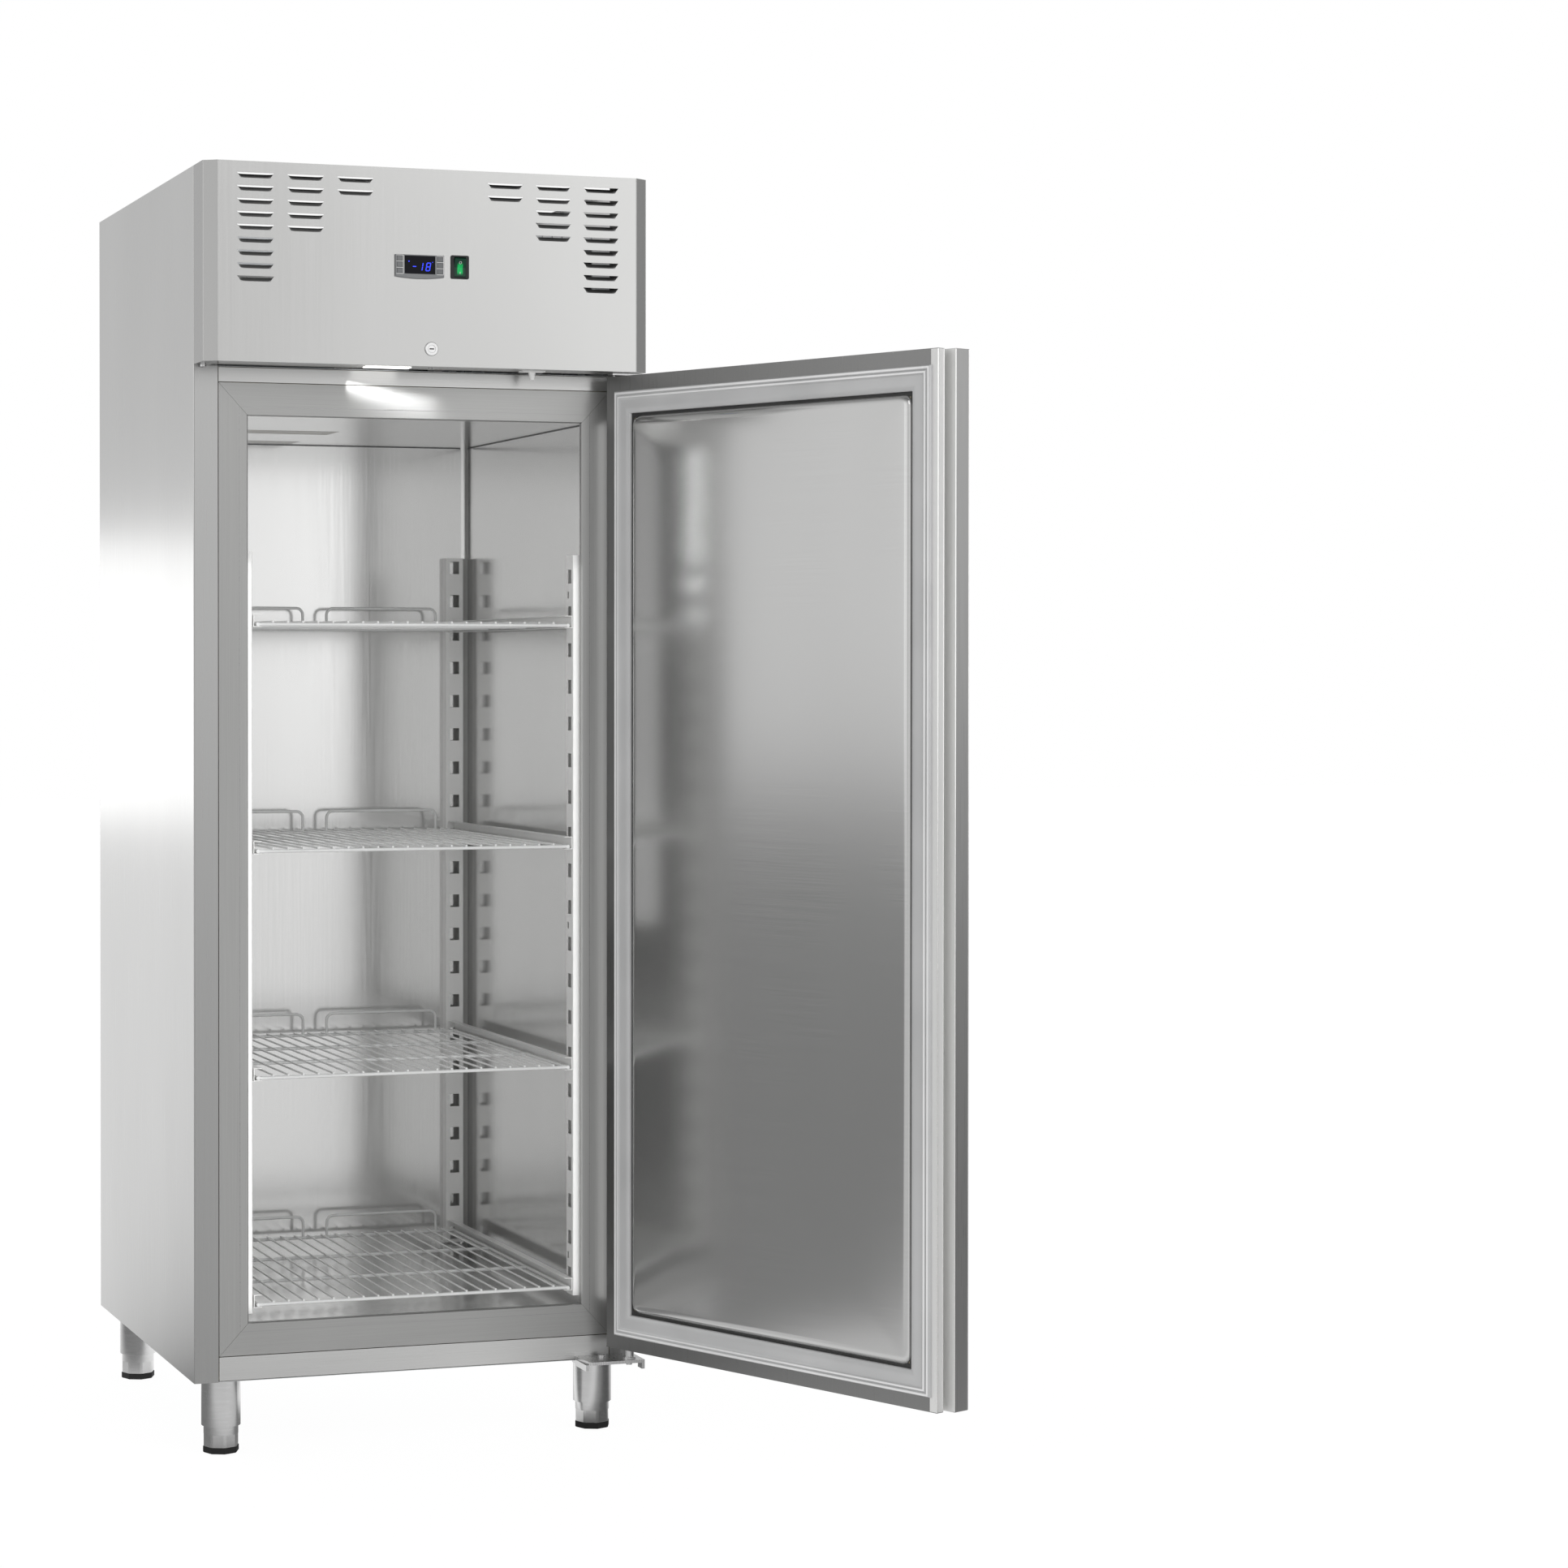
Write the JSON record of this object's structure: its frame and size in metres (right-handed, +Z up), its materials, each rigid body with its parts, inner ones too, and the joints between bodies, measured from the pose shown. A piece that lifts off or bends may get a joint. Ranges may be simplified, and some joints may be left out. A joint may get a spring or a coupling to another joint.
{
  "type": "commercial upright refrigerator",
  "caption": "Upright stainless storage refrigerator with an insulated hinged door, wire shelves, a louvred top fascia with controller and lock, and screw feet.",
  "frame": {"origin": "on the floor, in the middle of the whole outline with the door open as pictured", "axes": "+Z up, the cabinet's front faces -Y, +X to the right seen from the front"},
  "size_m": [1.0312, 1.4809, 2.058],
  "materials": {
    "stainless_outer": "vertical brushed stainless",
    "frame_steel": "brushed stainless",
    "galvanised_steel": "dull galvanised sheet",
    "stainless_liner": "bright stainless",
    "insulation_foam": "closed-cell foam",
    "shelf_wire": "grey plastic-coated wire",
    "gasket_rubber": "soft grey, satin",
    "hinge_steel": "zinc-plated, satin",
    "fastener_steel": "zinc-plated",
    "bezel_grey": "fine matt",
    "window_black": "smoked gloss",
    "button_grey": "fine matt",
    "black_plastic": "satin",
    "rocker_green": "translucent, lit from inside",
    "lock_chrome": "bright",
    "lamp_lens": "opal",
    "white_plastic": "satin",
    "compressor_black": "semi-gloss enamel",
    "coil_aluminium": "mill finish",
    "electrics_grey": "satin",
    "copper_pipe": "drawn copper",
    "foot_steel": "satin"
  },
  "bodies": {
    "cabinet": {"side_panel_left": "stainless_outer", "side_panel_right": "stainless_outer", "lintel_bar": "stainless_outer", "bottom_bar": "stainless_outer", "door_frame": "frame_steel", "back_panel": "galvanised_steel", "bottom_panel": "galvanised_steel", "deck_panel": "galvanised_steel", "rear_vent_panel": "galvanised_steel", "condenser_shroud": "galvanised_steel", "liner": "stainless_liner", "uprights_front": "stainless_liner", "uprights_rear": "stainless_liner", "shelf_runners": "stainless_liner", "insulation": "insulation_foam", "hinge_bracket_lower": "hinge_steel", "hinge_bracket_upper": "hinge_steel", "hinge_bolts": "fastener_steel", "power_inlet": "black_plastic", "evaporator_cover": "white_plastic", "compressor": "compressor_black", "condenser": "coil_aluminium", "evaporator": "coil_aluminium", "electrics_box": "electrics_grey", "pipework": "copper_pipe", "foot_sleeves": "foot_steel"},
    "door": {"door_skin": "stainless_outer", "door_grip": "stainless_outer", "door_foam": "insulation_foam", "door_gasket": "gasket_rubber", "door_inner_panel": "stainless_outer", "door_hinge_parts": "hinge_steel"},
    "fascia": {"fascia": "stainless_outer", "fascia_fasteners": "fastener_steel", "controller_housing": "bezel_grey", "controller_window": "window_black", "switch_bezel": "black_plastic", "lock_barrel": "lock_chrome", "door_lamp": "lamp_lens", "door_switch_housing": "white_plastic"},
    "lock_plug": {"lock_plug": "lock_chrome"},
    "lock_bolt": {"lock_bolt": "lock_chrome"},
    "switch_rocker": {"switch_rocker": "rocker_green"},
    "door_switch_plunger": {"door_switch_plunger": "white_plastic"},
    "evaporator_fan": {"evaporator_fan": "black_plastic"},
    "condenser_fan": {"condenser_fan": "black_plastic"},
    "button_1": {"button_1": "button_grey"},
    "button_2": {"button_2": "button_grey"},
    "button_3": {"button_3": "button_grey"},
    "button_4": {"button_4": "button_grey"},
    "button_5": {"button_5": "button_grey"},
    "button_6": {"button_6": "button_grey"},
    "shelf_1": {"shelf_1": "shelf_wire"},
    "shelf_2": {"shelf_2": "shelf_wire"},
    "shelf_3": {"shelf_3": "shelf_wire"},
    "shelf_4": {"shelf_4": "shelf_wire"},
    "foot_front_left": {"foot_front_left": "foot_steel"},
    "foot_front_right": {"foot_front_right": "foot_steel"},
    "foot_rear_left": {"foot_rear_left": "foot_steel"},
    "foot_rear_right": {"foot_rear_right": "foot_steel"}
  },
  "joints": [
    {"name": "door_hinge", "type": "hinge", "parent": "cabinet", "child": "door", "pos_m": [0.20346, -0.0813, 0.94], "axis": [0, 0, 1], "range_deg": [-113.75, 6.25]},
    {"name": "fascia_tilt", "type": "hinge", "parent": "cabinet", "child": "fascia", "pos_m": [-0.14564, -0.0454, 2.054], "axis": [-1, 0, 0], "range_deg": [0, 75]},
    {"name": "lock_turn", "type": "hinge", "parent": "fascia", "child": "lock_plug", "pos_m": [-0.14484, -0.1074, 1.7708], "axis": [0, 1, 0], "range_deg": [-3, 93]},
    {"name": "lock_bolt_slide", "type": "slide", "parent": "fascia", "child": "lock_bolt", "axis": [0, 0, -1], "range_m": [0, 0.012]},
    {"name": "switch_rock", "type": "hinge", "parent": "fascia", "child": "switch_rocker", "pos_m": [-0.09764, -0.1137, 1.9028], "axis": [-1, 0, 0], "range_deg": [0, 18]},
    {"name": "door_switch_press", "type": "slide", "parent": "fascia", "child": "door_switch_plunger", "axis": [0, 0, 1], "range_m": [-0.0006, 0.0097]},
    {"name": "button_1_press", "type": "slide", "parent": "fascia", "child": "button_1", "axis": [0, 1, 0], "range_m": [0, 0.0007], "stiffness_N_per_m": 400},
    {"name": "button_2_press", "type": "slide", "parent": "fascia", "child": "button_2", "axis": [0, 1, 0], "range_m": [0, 0.0007], "stiffness_N_per_m": 400},
    {"name": "button_3_press", "type": "slide", "parent": "fascia", "child": "button_3", "axis": [0, 1, 0], "range_m": [0, 0.0007], "stiffness_N_per_m": 400},
    {"name": "button_4_press", "type": "slide", "parent": "fascia", "child": "button_4", "axis": [0, 1, 0], "range_m": [0, 0.0007], "stiffness_N_per_m": 400},
    {"name": "button_5_press", "type": "slide", "parent": "fascia", "child": "button_5", "axis": [0, 1, 0], "range_m": [0, 0.0007], "stiffness_N_per_m": 400},
    {"name": "button_6_press", "type": "slide", "parent": "fascia", "child": "button_6", "axis": [0, 1, 0], "range_m": [0, 0.0007], "stiffness_N_per_m": 400},
    {"name": "shelf_1_slide", "type": "slide", "parent": "cabinet", "child": "shelf_1", "axis": [0, -1, 0], "range_m": [0, 0.4]},
    {"name": "shelf_2_slide", "type": "slide", "parent": "cabinet", "child": "shelf_2", "axis": [0, -1, 0], "range_m": [0, 0.4]},
    {"name": "shelf_3_slide", "type": "slide", "parent": "cabinet", "child": "shelf_3", "axis": [0, -1, 0], "range_m": [0, 0.4]},
    {"name": "shelf_4_slide", "type": "slide", "parent": "cabinet", "child": "shelf_4", "axis": [0, -1, 0], "range_m": [0, 0.4]},
    {"name": "foot_front_left_turn", "type": "hinge", "parent": "cabinet", "child": "foot_front_left", "pos_m": [-0.46164, 0.0096, 0.06], "axis": [0, 0, 1], "continuous": true},
    {"name": "foot_front_right_turn", "type": "hinge", "parent": "cabinet", "child": "foot_front_right", "pos_m": [0.17036, 0.0096, 0.06], "axis": [0, 0, 1], "continuous": true},
    {"name": "foot_rear_left_turn", "type": "hinge", "parent": "cabinet", "child": "foot_rear_left", "pos_m": [-0.46164, 0.6566, 0.06], "axis": [0, 0, 1], "continuous": true},
    {"name": "foot_rear_right_turn", "type": "hinge", "parent": "cabinet", "child": "foot_rear_right", "pos_m": [0.17036, 0.6566, 0.06], "axis": [0, 0, 1], "continuous": true},
    {"name": "evaporator_fan_spin", "type": "hinge", "parent": "cabinet", "child": "evaporator_fan", "pos_m": [-0.28564, 0.3526, 1.81], "axis": [0, 1, 0], "continuous": true},
    {"name": "condenser_fan_spin", "type": "hinge", "parent": "cabinet", "child": "condenser_fan", "pos_m": [0.04436, 0.0886, 1.863], "axis": [0, 1, 0], "continuous": true}
  ],
  "couplings": [
    {"joint": "lock_turn", "follows": "lock_bolt_slide", "rad_per_m": 130.9},
    {"joint": "door_switch_press", "follows": "door_hinge", "m_per_rad": -0.0048355}
  ]
}
